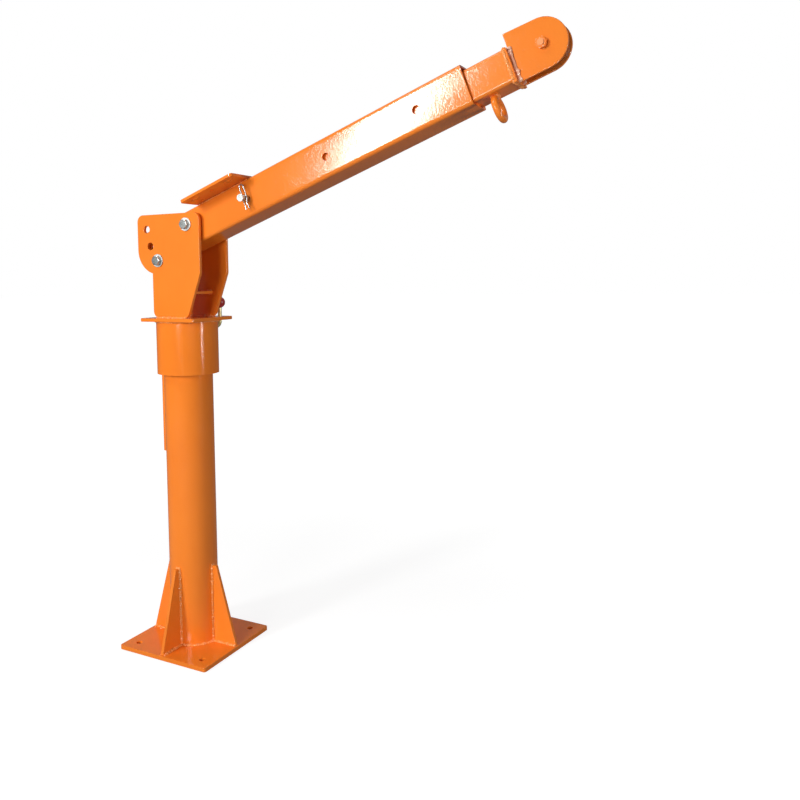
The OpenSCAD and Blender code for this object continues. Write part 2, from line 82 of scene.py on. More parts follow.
class Val:
    """A socket that carries a number, with arithmetic that adds Math nodes."""

    def __init__(self, shader: "Shader", socket: bpy.types.NodeSocket) -> None:
        """Wraps a socket.

        Args:
            shader: the material that owns the socket.
            socket: an output socket with a number.
        """
        self.shader = shader
        self.socket = socket

    def math(self, operation: str, first: Any, second: Any = 0.0, clamp: bool = False) -> "Val":
        """Adds one Math node.

        Args:
            operation: the Math node's operation.
            first: left value or Val.
            second: right value or Val.
            clamp: keeps the result from 0 to 1.

        Returns:
            The node's result.
        """
        node = self.shader.node("ShaderNodeMath", {"operation": operation, "use_clamp": clamp},
                                {0: first, 1: second})
        return Val(self.shader, node.outputs[0])

    def __add__(self, other: Any) -> "Val":
        """Sum."""
        return self.math("ADD", self, other)

    __radd__ = __add__

    def __sub__(self, other: Any) -> "Val":
        """Difference."""
        return self.math("SUBTRACT", self, other)

    def __rsub__(self, other: Any) -> "Val":
        """Difference, reflected."""
        return self.math("SUBTRACT", other, self)

    def __mul__(self, other: Any) -> "Val":
        """Product."""
        return self.math("MULTIPLY", self, other)

    __rmul__ = __mul__

    def clamped(self) -> "Val":
        """The value kept from 0 to 1."""
        return self.math("ADD", self, 0.0, clamp=True)

    def step(self, low: float, high: float) -> "Val":
        """Smooth step from 0 at low to 1 at high.

        Args:
            low: value where the step starts.
            high: value where the step ends.

        Returns:
            The stepped value.
        """
        node = self.shader.node("ShaderNodeMapRange", {"interpolation_type": "SMOOTHSTEP"},
                                {"Value": self, "From Min": low, "From Max": high})
        return Val(self.shader, node.outputs["Result"])


def add_node(tree: bpy.types.NodeTree, kind: str, settings: dict[str, Any],
             inputs: dict[Any, Any]) -> bpy.types.Node:
    """Adds a node of any type to a tree.

    Args:
        tree: the shader's or the geometry's tree.
        kind: the node's type name.
        settings: its properties, set first, and "stops" for a ramp.
        inputs: a value, socket or Val for each named or numbered input.

    Returns:
        The node.
    """
    node = tree.nodes.new(kind)
    for name, value in settings.items():
        if name == "stops":
            ramp = node.color_ramp
            while len(ramp.elements) < len(value):
                ramp.elements.new(1.0)
            for element, (position, colour) in zip(ramp.elements, value):
                element.position = position
                element.color = (*colour, 1.0)
        else:
            setattr(node, name, value)
    for name, value in inputs.items():
        if isinstance(value, Val):
            value = value.socket
        if isinstance(value, bpy.types.NodeSocket):
            tree.links.new(value, node.inputs[name])
        elif isinstance(value, tuple) and node.inputs[name].type == "RGBA":
            node.inputs[name].default_value = (*value, 1.0)
        else:
            node.inputs[name].default_value = value
    return node


def placed(name: str, data: bpy.types.ID) -> bpy.types.Object:
    """Makes an object and links it to the scene.

    Args:
        name: the object's name.
        data: its mesh, curve, camera or light.

    Returns:
        The object.
    """
    obj = bpy.data.objects.new(name, data)
    bpy.context.scene.collection.objects.link(obj)
    return obj


class Shader:
    """One material under construction."""

    def __init__(self, name: str, tree: bpy.types.NodeTree | None = None) -> None:
        """Starts an empty node material, or empties a tree that is given.

        Args:
            name: the material's name.
            tree: a world's tree, where no material is made.
        """
        if tree is None:
            self.material = bpy.data.materials.new(name)
            self.material.use_nodes = True
            tree = self.material.node_tree
        self.tree = tree
        self.tree.nodes.clear()
        self.place = self.node("ShaderNodeTexCoord", {}, {}).outputs["Object"]

    def node(self, kind: str, settings: dict[str, Any], inputs: dict[Any, Any]) -> bpy.types.Node:
        """Adds a node of any type; its arguments are those of add_node."""
        return add_node(self.tree, kind, settings, inputs)

    def stretched(self, scale: Point) -> bpy.types.NodeSocket:
        """Object coordinates scaled on each axis.

        Args:
            scale: factor for X, Y and Z.

        Returns:
            The scaled vector.
        """
        node = self.node("ShaderNodeMapping", {}, {"Vector": self.place, "Scale": scale})
        return node.outputs["Vector"]

    def noise(self, scale: float, detail: float = 2.0, vector: Any = None) -> Val:
        """Noise from 0 to 1 on the object's own coordinates.

        Args:
            scale: waves in a metre.
            detail: octaves.
            vector: coordinates in place of the plain ones.

        Returns:
            The noise.
        """
        node = self.node("ShaderNodeTexNoise", {},
                         {"Vector": vector or self.place, "Scale": scale, "Detail": detail})
        return Val(self, node.outputs["Fac"])

    def edges(self) -> Val:
        """How far a point lies on an outer edge: 0.5 on a flat, more on an edge."""
        return Val(self, self.node("ShaderNodeNewGeometry", {}, {}).outputs["Pointiness"])

    def mix(self, factor: Any, first: Any, second: Any) -> bpy.types.NodeSocket:
        """Mixes two colours.

        Args:
            factor: share of the second.
            first: a colour or socket.
            second: a colour or socket.

        Returns:
            The mixed colour.
        """
        node = self.node("ShaderNodeMix", {"data_type": "RGBA"}, {0: factor, 6: first, 7: second})
        return node.outputs[2]

    def bump(self, height: Val, strength: float, distance: float) -> bpy.types.NodeSocket:
        """Bumped normal.

        Args:
            height: the relief from 0 to 1.
            strength: share of the relief.
            distance: depth in metres.

        Returns:
            The normal.
        """
        node = self.node("ShaderNodeBump", {},
                         {"Height": height, "Strength": strength, "Distance": distance})
        return node.outputs["Normal"]

    def surface(self, **inputs: Any) -> bpy.types.Material:
        """Ends the material with a Principled shader.

        Args:
            **inputs: its inputs, with underscores for spaces.

        Returns:
            The finished material.
        """
        named = {name.replace("_", " "): value for name, value in inputs.items()}
        shader = self.node("ShaderNodeBsdfPrincipled", {}, named)
        self.node("ShaderNodeOutputMaterial", {}, {"Surface": shader.outputs[0]})
        return self.material


@dataclass(frozen=True)
class GlossPaint:
    """Enamel sprayed over steel, with a fine orange peel; a little thinner on edges, where its lighter
    tone is also a painted highlight.
    """

    name: str
    colour: Colour = (0.93, 0.235, 0.021)
    deep: Colour = (0.84, 0.178, 0.012)
    thin_paint_and_sheen: Colour = (1.0, 0.36, 0.08)
    dust: Colour = (0.95, 0.45, 0.22)
    rough: float = 0.09
    peel: float = 0.26
    wear_and_sheen: float = 0.12
    peel_depth: float = 0.3 * MM
    deep_share: float = 0.35
    streak_share: float = 0.15
    dust_share: float = 0.12

    def material(self) -> bpy.types.Material:
        """The finished paint."""
        sh = Shader(self.name)
        cloud = sh.noise(5.0, 3.0)
        streaks = sh.noise(38.0, 4.0, sh.stretched((1.0, 1.0, 0.25)))
        edge = sh.edges().step(0.52, 0.60)
        speck = sh.noise(420.0, 2.0).step(0.70, 0.78)
        darker = cloud.step(0.35, 0.7) * self.deep_share + streaks.step(0.45, 0.75) * self.streak_share
        tone = sh.mix(darker, self.colour, self.deep)
        # Edges take a lighter tone: thinner paint, and partly a painted highlight along the edges.
        tone = sh.mix(edge * self.wear_and_sheen, tone, self.thin_paint_and_sheen)
        tone = sh.mix(speck * self.dust_share, tone, self.dust)
        peel = sh.noise(310.0, 1.0).step(0.3, 0.7) * 0.75 + sh.noise(900.0, 1.0) * 0.25
        return sh.surface(Base_Color=tone, Roughness=cloud * 0.04 + speck * 0.10 + self.rough,
                          Specular_IOR_Level=0.5, Normal=sh.bump(peel, self.peel, self.peel_depth))


@dataclass(frozen=True)
class Plated:
    """Plated steel whose tint wanders, as zinc does, from its least roughness up."""

    name: str
    stops: tuple[tuple[float, Colour], ...]
    rough: float
    turned: bool = False
    tint_scale: float = 70.0
    grain_scale: float = 1400.0
    grain_depth: float = 0.2 * MM
    edge_highlight: Colour = (0.9, 0.9, 0.9)
    edge_highlight_share: float = 0.35

    def material(self) -> bpy.types.Material:
        """The finished plating."""
        sh = Shader(self.name)
        drift = sh.noise(self.tint_scale, 3.0)
        tint = sh.node("ShaderNodeValToRGB", {"stops": self.stops}, {"Fac": drift}).outputs["Color"]
        grain = sh.noise(self.grain_scale, 2.0, sh.stretched((1.0, 0.15, 1.0)) if self.turned else None)
        edge = sh.edges().step(0.53, 0.62)
        # Edges take a pale painted highlight.
        tint = sh.mix(edge * self.edge_highlight_share, tint, self.edge_highlight)
        return sh.surface(Base_Color=tint, Metallic=1.0,
                          Roughness=grain * 0.16 + drift * 0.10 + self.rough,
                          Normal=sh.bump(grain, 0.12, self.grain_depth))


@dataclass(frozen=True)
class Moulded:
    """Moulded plastic with faint flow marks."""

    name: str
    colour: Colour
    shade: Colour
    rough: float
    coat: float
    grain_depth: float = 0.2 * MM

    def material(self) -> bpy.types.Material:
        """The finished plastic."""
        sh = Shader(self.name)
        flow = sh.noise(60.0, 3.0)
        tone = sh.mix(flow.step(0.3, 0.8), self.colour, self.shade)
        return sh.surface(Base_Color=tone, Roughness=flow * 0.10 + self.rough,
                          Normal=sh.bump(sh.noise(900.0, 1.0), 0.05, self.grain_depth),
                          Coat_Weight=self.coat)


class Finishes:
    """Every material of the crane, made once."""

    def __init__(self) -> None:
        """Builds the materials."""
        self.paint = GlossPaint("orange_enamel").material()
        self.weld = GlossPaint("orange_enamel_on_weld", colour=(0.97, 0.28, 0.045),
                               thin_paint_and_sheen=(1.0, 0.46, 0.16), rough=0.13, peel=0.5, wear_and_sheen=0.5).material()
        # Paler paint for the head's cheek beads: a painted highlight that stands in for glare on the
        # weld.
        self.painted_glare = GlossPaint("orange_enamel_on_spatter", colour=(1.0, 0.46, 0.26),
                                  deep=(1.0, 0.38, 0.18), thin_paint_and_sheen=(1.0, 0.66, 0.50), rough=0.10,
                                  peel=0.5, wear_and_sheen=0.8).material()
        self.handled = GlossPaint("orange_enamel_handled", thin_paint_and_sheen=(1.0, 0.66, 0.40), wear_and_sheen=1.0,
                                  rough=0.16).material()
        self.zinc = Plated("bright_zinc", ((0.3, (0.42, 0.46, 0.45)), (0.7, (0.60, 0.63, 0.62))),
                           0.14).material()
        self.turned = Plated("turned_zinc", ((0.3, (0.50, 0.52, 0.52)), (0.7, (0.66, 0.67, 0.66))),
                             0.30, turned=True).material()
        self.wire = Plated("spring_wire", ((0.3, (0.30, 0.31, 0.31)), (0.7, (0.42, 0.43, 0.43))),
                           0.10).material()
        self.yellow = Plated("yellow_zinc", ((0.25, (0.72, 0.50, 0.16)), (0.5, (0.82, 0.66, 0.28)),
                                             (0.65, (0.70, 0.62, 0.36)), (0.8, (0.66, 0.40, 0.24))),
                             0.18).material()
        self.bronze = Plated("bearing_bronze", ((0.3, (0.55, 0.35, 0.14)), (0.7, (0.70, 0.47, 0.22))),
                             0.26, turned=True).material()
        self.nylon = Moulded("natural_nylon", (0.80, 0.78, 0.70), (0.70, 0.68, 0.60),
                             0.45, 0.0).material()
        self.red = Moulded("red_ball", (0.50, 0.015, 0.012), (0.40, 0.008, 0.008),
                           0.18, 0.6).material()

    def dress(self, node: str, material: bpy.types.Material) -> None:
        """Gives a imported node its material.

        Args:
            node: the node's name.
            material: its finish.
        """
        mesh = frame["nodes"][node].data
        mesh.materials.clear()
        mesh.materials.append(material)
        log.info("dressed %s", node)


class Bench:
    """Makes finished pieces and seats them on their bodies."""

    def __init__(self, finishes: Finishes) -> None:
        """Keeps the finishes at hand.

        Args:
            finishes: the crane's materials.
        """
        self.finishes = finishes

    def seat(self, name: str, mesh: bpy.types.Mesh, body: Body, slot: Slot, material: bpy.types.Material,
             stands_for: Sequence[str] = ()) -> bpy.types.Object:
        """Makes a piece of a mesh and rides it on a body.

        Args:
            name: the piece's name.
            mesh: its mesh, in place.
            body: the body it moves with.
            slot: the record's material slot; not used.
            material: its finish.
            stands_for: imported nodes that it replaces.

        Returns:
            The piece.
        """
        mesh.materials.clear()
        mesh.materials.append(material)
        obj = placed(name, mesh)
        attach(obj, body.value)
        if stands_for:
            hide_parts(*stands_for)
        log.info("made %s with %d faces", name, len(mesh.polygons))
        return obj

    def baked(self, obj: bpy.types.Object, name: str) -> bpy.types.Mesh:
        """Turns an object and its modifiers into a plain mesh, and removes the object.

        Args:
            obj: the object.
            name: the new mesh's name.

        Returns:
            The plain mesh.
        """
        bpy.context.view_layer.update()
        evaluated = obj.evaluated_get(bpy.context.evaluated_depsgraph_get())
        mesh = bpy.data.meshes.new_from_object(evaluated)
        mesh.name = name
        bpy.data.objects.remove(obj)
        return mesh

    def rounded(self, node: str, body: Body, slot: Slot, material: bpy.types.Material, width: float,
                turn: float = 30.0) -> bpy.types.Object:
        """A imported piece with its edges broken, in place of the sharp one.

        Args:
            node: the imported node.
            body: its body.
            slot: the record's material slot.
            material: its finish.
            width: width of the broken edge in metres.
            turn: least angle in degrees of an edge that is broken.

        Returns:
            The piece.
        """
        bm = bmesh.new()
        bm.from_mesh(frame["nodes"][node].data)
        bmesh.ops.remove_doubles(bm, verts=bm.verts, dist=2e-6)
        bmesh.ops.dissolve_limit(bm, angle_limit=math.radians(0.4), verts=bm.verts, edges=bm.edges)
        for face in bm.faces:
            face.smooth = True
        for edge in bm.edges:
            edge.smooth = len(edge.link_faces) == 2 and edge.calc_face_angle(0.0) < math.radians(turn)
        mesh = bpy.data.meshes.new(node)
        bm.to_mesh(mesh)
        bm.free()
        obj = placed(node, mesh)
        bevel = obj.modifiers.new("broken_edge", "BEVEL")
        bevel.width = width
        bevel.segments = 2
        bevel.limit_method = "ANGLE"
        bevel.angle_limit = math.radians(turn)
        bevel.harden_normals = True
        bevel.use_clamp_overlap = True
        name = f"{node}_finished"
        return self.seat(name, self.baked(obj, name), body, slot, material, [node])


class WeldTree:
    """Geometry Nodes that lay a rippled bead along every polyline of a mesh."""

    CORE_SHARE = 0.82
    CORE_SIDES = 8
    RIPPLE_SPREAD = (0.62, 1.30)
    LUMP_SCALE = 260.0
    PITCH_SHARE = 1.05
    FLATNESS = 0.7

    def __init__(self) -> None:
        """Builds the tree."""
        self.tree = bpy.data.node_groups.new("weld_bead", "GeometryNodeTree")
        self.inputs: dict[str, str] = {}
        face = self.tree.interface
        face.new_socket("Geometry", in_out="INPUT", socket_type="NodeSocketGeometry")
        for name, kind, value in (("Bead radius", "NodeSocketFloat", 3 * MM),
                                  ("Pitch", "NodeSocketFloat", 3 * MM),
                                  ("Flatness", "NodeSocketFloat", self.FLATNESS),
                                  ("Seed", "NodeSocketInt", 1),
                                  ("Material", "NodeSocketMaterial", None)):
            socket = face.new_socket(name, in_out="INPUT", socket_type=kind)
            self.inputs[name] = socket.identifier
            if value is not None:
                socket.default_value = value
        face.new_socket("Geometry", in_out="OUTPUT", socket_type="NodeSocketGeometry")
        self._wire()

    def _node(self, kind: str, settings: dict[str, Any], inputs: dict[Any, Any]) -> bpy.types.Node:
        """Adds a node of any type; its arguments are those of add_node."""
        return add_node(self.tree, kind, settings, inputs)

    def _wire(self) -> None:
        """Joins the nodes: resampled path, core tube, one flattened ball for each ripple."""
        entry = self._node("NodeGroupInput", {}, {}).outputs
        curve = self._node("GeometryNodeMeshToCurve", {}, {"Mesh": entry["Geometry"]}).outputs[0]
        path = self._node("GeometryNodeResampleCurve", {"mode": "LENGTH"},
                          {"Curve": curve, "Length": entry["Pitch"]}).outputs[0]
        core_r = self._node("ShaderNodeMath", {"operation": "MULTIPLY"},
                            {0: entry["Bead radius"], 1: self.CORE_SHARE}).outputs[0]
        profile = self._node("GeometryNodeCurvePrimitiveCircle", {},
                             {"Resolution": self.CORE_SIDES, "Radius": core_r}).outputs[0]
        core = self._node("GeometryNodeCurveToMesh", {},
                          {"Curve": path, "Profile Curve": profile, "Fill Caps": True})
        tangent = self._node("GeometryNodeInputTangent", {}, {}).outputs[0]
        turn = self._node("FunctionNodeAlignRotationToVector", {"axis": "Z"},
                          {"Vector": tangent}).outputs[0]
        ball = self._node("GeometryNodeMeshIcoSphere", {},
                          {"Radius": entry["Bead radius"], "Subdivisions": 2})
        least, most = self.RIPPLE_SPREAD
        spread = self._node("FunctionNodeRandomValue", {"data_type": "FLOAT"},
                            {2: least, 3: most, "Seed": entry["Seed"]}).outputs[1]
        flat = self._node("ShaderNodeMath", {"operation": "MULTIPLY"},
                          {0: spread, 1: entry["Flatness"]}).outputs[0]
        scale = self._node("ShaderNodeCombineXYZ", {}, {0: spread, 1: spread, 2: flat}).outputs[0]
        ripples = self._node("GeometryNodeInstanceOnPoints", {},
                             {"Points": path, "Instance": ball.outputs[0], "Rotation": turn,
                              "Scale": scale})
        joined = self._node("GeometryNodeJoinGeometry", {}, {}).inputs[0]
        self.tree.links.new(core.outputs[0], joined)
        self.tree.links.new(ripples.outputs[0], joined)
        real = self._node("GeometryNodeRealizeInstances", {},
                          {"Geometry": joined.node.outputs[0]}).outputs[0]
        wave = self._node("ShaderNodeTexNoise", {},
                          {"Scale": self.LUMP_SCALE, "Detail": 1.0}).outputs["Color"]
        swing = self._node("ShaderNodeVectorMath", {"operation": "SUBTRACT"},
                           {0: wave, 1: (0.5, 0.5, 0.5)}).outputs[0]
        reach = self._node("ShaderNodeVectorMath", {"operation": "SCALE"},
                           {0: swing, "Scale": entry["Bead radius"]}).outputs[0]
        lumpy = self._node("GeometryNodeSetPosition", {}, {"Geometry": real, "Offset": reach}).outputs[0]
        smooth = self._node("GeometryNodeSetShadeSmooth", {}, {"Geometry": lumpy}).outputs[0]
        made = self._node("GeometryNodeSetMaterial", {},
                          {"Geometry": smooth, "Material": entry["Material"]}).outputs[0]
        self._node("NodeGroupOutput", {}, {0: made})

    def lay(self, bench: Bench, name: str, body: Body, runs: Iterable[Sequence[Vector]], radius: float,
            seed: int, finish: bpy.types.Material | None = None) -> bpy.types.Object:
        """Lays one body's beads.

        Args:
            bench: where pieces are made.
            name: the piece's name.
            body: the body that the beads are on.
            runs: polylines in the row frame.
            radius: bead radius in metres.
            seed: seed of the ripples' sizes.
            finish: a material in place of the plain weld paint.

        Returns:
            The piece.
        """
        finish = finish or bench.finishes.weld
        points: list[Vector] = []
        links: list[tuple[int, int]] = []
        for run in runs:
            start = len(points)
            points += run
            links += [(start + i, start + i + 1) for i in range(len(run) - 1)]
        mesh = bpy.data.meshes.new(name)
        mesh.from_pydata(points, links, [])
        obj = placed(name, mesh)
        modifier = obj.modifiers.new("weld", "NODES")
        modifier.node_group = self.tree
        for key, value in (("Bead radius", radius), ("Pitch", radius * self.PITCH_SHARE),
                           ("Flatness", self.FLATNESS), ("Seed", seed), ("Material", finish)):
            modifier[self.inputs[key]] = value
        return bench.seat(name, bench.baked(obj, name), body, Slot.PAINT, finish)


def line(start: Sequence[float], end: Sequence[float]) -> list[Vector]:
    """A straight run.

    Args:
        start: its first point.
        end: its last point.

    Returns:
        Both points.
    """
    return [Vector(start), Vector(end)]


def ring(centre: Sequence[float], along: Sequence[float], across: Sequence[float],
         count: int) -> list[Vector]:
    """A closed run round an ellipse.

    Args:
        centre: its centre.
        along: first half axis.
        across: second half axis.
        count: points on it.

    Returns:
        The points, with the first repeated at the end.
    """
    c, a, b = Vector(centre), Vector(along), Vector(across)
    turns = [2 * math.pi * i / count for i in range(count + 1)]
    return [c + a * math.cos(t) + b * math.sin(t) for t in turns]


class BoomFrame:
    """The boom's own axes: s along it from the pivot, y across it and v up from it."""

    def __init__(self) -> None:
        """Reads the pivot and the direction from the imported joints."""
        joints = {joint["name"]: joint for joint in frame["joints"]}
        self.pivot = Vector(joints["luff"]["pos_m"])
        self.along = Vector(joints["telescope"]["axis"]).normalized()
        self.across = Vector((0.0, 1.0, 0.0))
        self.up = self.along.cross(self.across)

    def at(self, s: float, y: float, v: float) -> Vector:
        """A point of the boom's frame in the row frame.

        Args:
            s: its place along the boom.
            y: its place across it.
            v: its height from the pivot line.

        Returns:
            The point.
        """
        return self.pivot + self.along * s + self.across * y + self.up * v

    def box(self, node: str) -> tuple[Vector, Vector]:
        """A node's lowest and highest s, y and v.

        Args:
            node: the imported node.

        Returns:
            Two corners in the boom's frame.
        """
        seen = [v.co - self.pivot for v in frame["nodes"][node].data.vertices]
        spans = [[p.dot(axis) for p in seen] for axis in (self.along, self.across, self.up)]
        return Vector([min(span) for span in spans]), Vector([max(span) for span in spans])


@dataclass
class MastBase:
    """Base plate, gussets and mast tube, welded together."""

    bench: Bench
    welds: WeldTree
    bead: float = 3.9 * MM
    gusset_weld_gap: float = 4 * MM
    toe_weld_gap: float = 3 * MM
    ring_points: int = 72

    def build(self) -> None:
        """Makes the pieces of the fixed base."""
        paint = self.bench.finishes.paint
        for node, width in (("base_plate", 1.2), ("base_gussets", 0.9), ("mast_tube", 0.8)):
            self.bench.rounded(node, Body.BASE, Slot.PAINT, paint, width * MM)
        self.bench.finishes.dress("mast_cap", paint)
        self.welds.lay(self.bench, "base_welds", Body.BASE, self.runs(), self.bead, 3)

    def runs(self) -> list[list[Vector]]:
        """The beads round the mast's foot and along the gussets."""
        plate_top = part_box("base_plate")[1].z
        mast_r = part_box("mast_tube")[1].x
        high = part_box("base_gussets")[1]
        half_t = self.gusset_thickness() / 2
        runs = [ring((0, 0, plate_top), (mast_r, 0, 0), (0, mast_r, 0), self.ring_points)]
        foot = mast_r * 0.999
        top = high.z - self.gusset_weld_gap
        toe = high.x - self.toe_weld_gap
        for quarter in range(4):
            turn = Matrix.Rotation(quarter * math.pi / 2, 4, "Z")
            for side in (-half_t, half_t):
                runs.append([turn @ p for p in line((foot, side, plate_top), (foot, side, top))])
                runs.append([turn @ p for p in line((foot, side, plate_top), (toe, side, plate_top))])
            runs.append([turn @ p for p in line((mast_r, -half_t, high.z), (mast_r, half_t, high.z))])
        return runs

    def gusset_thickness(self) -> float:
        """Thickness of a gusset, read from the toe of the one on +X."""
        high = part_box("base_gussets")[1]
        toe = [v.co.y for v in frame["nodes"]["base_gussets"].data.vertices
               if abs(v.co.x - high.x) < MM]
        return max(toe) - min(toe)


@dataclass
class SlewingHead:
    """Sleeve, flange and cheek plates that turn on the mast, with their bolts."""

    bench: Bench
    welds: WeldTree
    bead: float = 3.3 * MM
    stiffener_weld_gap: float = 4 * MM
    ring_points: int = 72
    boss_points: int = 40

    def build(self) -> None:
        """Makes the pieces of the slewing head."""
        fin = self.bench.finishes
        painted = {"sleeve": 0.9, "sleeve_flange": 1.2, "cheek_plate_near": 1.1,
                   "cheek_plate_far": 1.1, "cheek_stiffener": 0.8, "lock_boss": 0.8,
                   "handle_lug": 0.8}
        for node, width in painted.items():
            self.bench.rounded(node, Body.HEAD, Slot.PAINT, fin.paint, width * MM)
        for node in ("pivot_bolt", "pivot_nut", "luff_lock_bolt", "luff_lock_nut", "handle_bolt",
                     "handle_nut"):
            self.bench.rounded(node, Body.HEAD, Slot.ZINC, fin.zinc, 0.4 * MM, 18.0)
        for node in ("pivot_washers", "luff_lock_washers"):
            self.bench.rounded(node, Body.HEAD, Slot.ZINC, fin.turned, 0.5 * MM)
        fin.dress("pivot_spacers", fin.turned)
        fin.dress("thrust_pad", fin.bronze)
        fin.dress("guide_rings", fin.nylon)
        self.welds.lay(self.bench, "head_welds", Body.HEAD, self.runs(), self.bead, 5)

    def runs(self) -> list[list[Vector]]:
        """The beads of the sleeve, the cheek plates, the stiffener, the boss and the lug."""
        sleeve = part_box("sleeve")
        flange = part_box("sleeve_flange")
        radius = sleeve[1].y
        runs = [ring((0, 0, sleeve[1].z), (radius, 0, 0), (0, radius, 0), self.ring_points)]
        foot_low, foot_high = self.foot()
        for plate in ("cheek_plate_near", "cheek_plate_far"):
            low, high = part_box(plate)
            for y in (low.y, high.y):
                runs.append(line((foot_low, y, flange[1].z), (foot_high, y, flange[1].z)))
        low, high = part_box("cheek_stiffener")
        start, end = low.x + self.stiffener_weld_gap, high.x - self.stiffener_weld_gap
        for y in (low.y, high.y):
            for z in (low.z, high.z):
                runs.append(line((start, y, z), (end, y, z)))
        runs.append(self.on_sleeve("lock_boss", radius))
        return runs + self.lug_runs(radius)

    def lug_runs(self, radius: float) -> list[list[Vector]]:
        """The beads along the lug's ears, which stand turned round the mast.

        Args:
            radius: the sleeve's radius.

        Returns:
            The runs.
        """
        axis = next(Vector(joint["axis"]) for joint in frame["joints"]
                    if joint["name"] == "handle_swing")
        turn = Matrix.Rotation(-math.atan2(axis.x, axis.y), 3, "Z")
        square = [turn.inverted() @ v.co for v in frame["nodes"]["handle_lug"].data.vertices]
        low_z, high_z = min(p.z for p in square), max(p.z for p in square)
        runs = []
        for y in (min(p.y for p in square), max(p.y for p in square)):
            x = -math.sqrt(radius * radius - y * y)
            runs.append([turn @ p for p in line((x, y, low_z + MM), (x, y, high_z - MM))])
        return runs

    def foot(self) -> tuple[float, float]:
        """Both ends of a cheek plate's foot on the flange."""
        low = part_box("cheek_plate_near")[0]
        near = [v.co.x for v in frame["nodes"]["cheek_plate_near"].data.vertices
                if v.co.z < low.z + MM]
        return min(near), max(near)

    def on_sleeve(self, node: str, radius: float) -> list[Vector]:
        """A bead round a round boss, on the sleeve's curved wall.

        Args:
            node: the boss.
            radius: the sleeve's radius.

        Returns:
            The run.
        """
        low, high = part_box(node)
        r, z = (high.x - low.x) / 2, (high.z + low.z) / 2
        flat = ring((0, 0, z), (r, 0, 0), (0, 0, r), self.boss_points)
        return [Vector((p.x, math.sqrt(radius * radius - p.x * p.x), p.z)) for p in flat]


@dataclass
class LockLever:
    """Clamping screw with a bent lever and a ball."""

    bench: Bench

    def build(self) -> None:
        """Makes the lever and the ball."""
        fin = self.bench.finishes
        self.bench.rounded("lock_screw", Body.LEVER, Slot.YELLOW, fin.yellow, 0.4 * MM, 40.0)
        self.bench.rounded("lever_ball", Body.LEVER, Slot.RED, fin.red, 0.3 * MM, 60.0)


@dataclass
class SlewHandle:
    """Pipe handle that hangs from the sleeve's lug."""

    bench: Bench

    def build(self) -> None:
        """Makes the pipe and dresses its caps."""
        fin = self.bench.finishes
        self.bench.rounded("slew_handle", Body.HANDLE, Slot.PAINT, fin.paint, 0.5 * MM)
        fin.dress("handle_end_caps", fin.paint)


@dataclass
class Boom:
    """Outer boom with its winch plate, bush, pin and clip."""

    bench: Bench
    welds: WeldTree
    axes: BoomFrame
    bead: float = 2.4 * MM
    weld_inset: float = 4 * MM
    weld_drop: float = 2.2 * MM
    clip_width: float = 10 * MM
    clip_rise: float = 0.7
    clip_arc_step: int = 15
    grip_above: float = 7 * MM
    grip_below: float = 5 * MM
    nip_drop: float = 14 * MM
    nip_share: float = 0.5
    flare_share: float = 0.9

    def build(self) -> None:
        """Makes the pieces of the outer boom."""
        fin = self.bench.finishes
        self.bench.rounded("outer_boom", Body.BOOM, Slot.PAINT, fin.paint, 0.7 * MM)
        self.bench.rounded("winch_plate", Body.BOOM, Slot.PAINT, fin.paint, 0.9 * MM)
        self.bench.rounded("extension_pin", Body.BOOM, Slot.ZINC, fin.zinc, 0.7 * MM)
        fin.dress("pivot_bush", fin.turned)
        self.clip()
        self.welds.lay(self.bench, "boom_welds", Body.BOOM, self.runs(), self.bead, 7)

    def clip(self) -> None:
        """Bends the pin's retaining clip from one round wire."""
        low, high = self.axes.box("extension_clip")
        pin_low, pin_high = self.axes.box("extension_pin")
        wire_r = (high.y - low.y) / 2
        pin_s, pin_v = (pin_low.x + pin_high.x) / 2, (pin_low.z + pin_high.z) / 2
        side, rise = self.clip_width, self.clip_width * self.clip_rise
        turn_v = high.z - wire_r - pin_v - rise
        end_v = low.z + wire_r - pin_v
        arc = [math.radians(a) for a in range(self.clip_arc_step, 180, self.clip_arc_step)]
        path = [(0.0, end_v), (0.0, turn_v)]
        path += [(side / 2 * (1 - math.cos(a)), turn_v + rise * math.sin(a)) for a in arc]
        path += [(side, turn_v), (side, self.grip_above), (side, 0.0), (side, -self.grip_below),
                 (side * self.nip_share, -self.nip_drop), (side * self.flare_share, end_v)]
        curve = bpy.data.curves.new("clip_wire", "CURVE")
        curve.dimensions = "3D"
        curve.bevel_depth = wire_r
        curve.bevel_resolution = 4
        curve.use_fill_caps = True
        spline = curve.splines.new("NURBS")
        spline.points.add(len(path) - 1)
        spline.order_u = 3
        spline.use_endpoint_u = True
        y = (low.y + high.y) / 2
        for point, (s, v) in zip(spline.points, path):
            point.co = (*self.axes.at(pin_s + s, y, pin_v + v), 1.0)
        mesh = self.bench.baked(placed("clip_wire", curve), "clip_wire")
        mesh.shade_smooth()
        self.bench.seat("clip_wire", mesh, Body.BOOM, Slot.ZINC, self.bench.finishes.wire,
                        ["extension_clip"])

    def runs(self) -> list[list[Vector]]:
        """The beads under the winch plate's sides."""
        plate_low, plate_high = self.axes.box("winch_plate")
        tube_low, tube_high = self.axes.box("outer_boom")
        inset, v = self.weld_inset, plate_low.z - self.weld_drop
        return [line(self.axes.at(plate_low.x + inset, y, v), self.axes.at(plate_high.x - inset, y, v))
                for y in (tube_low.y + inset, tube_high.y - inset)]


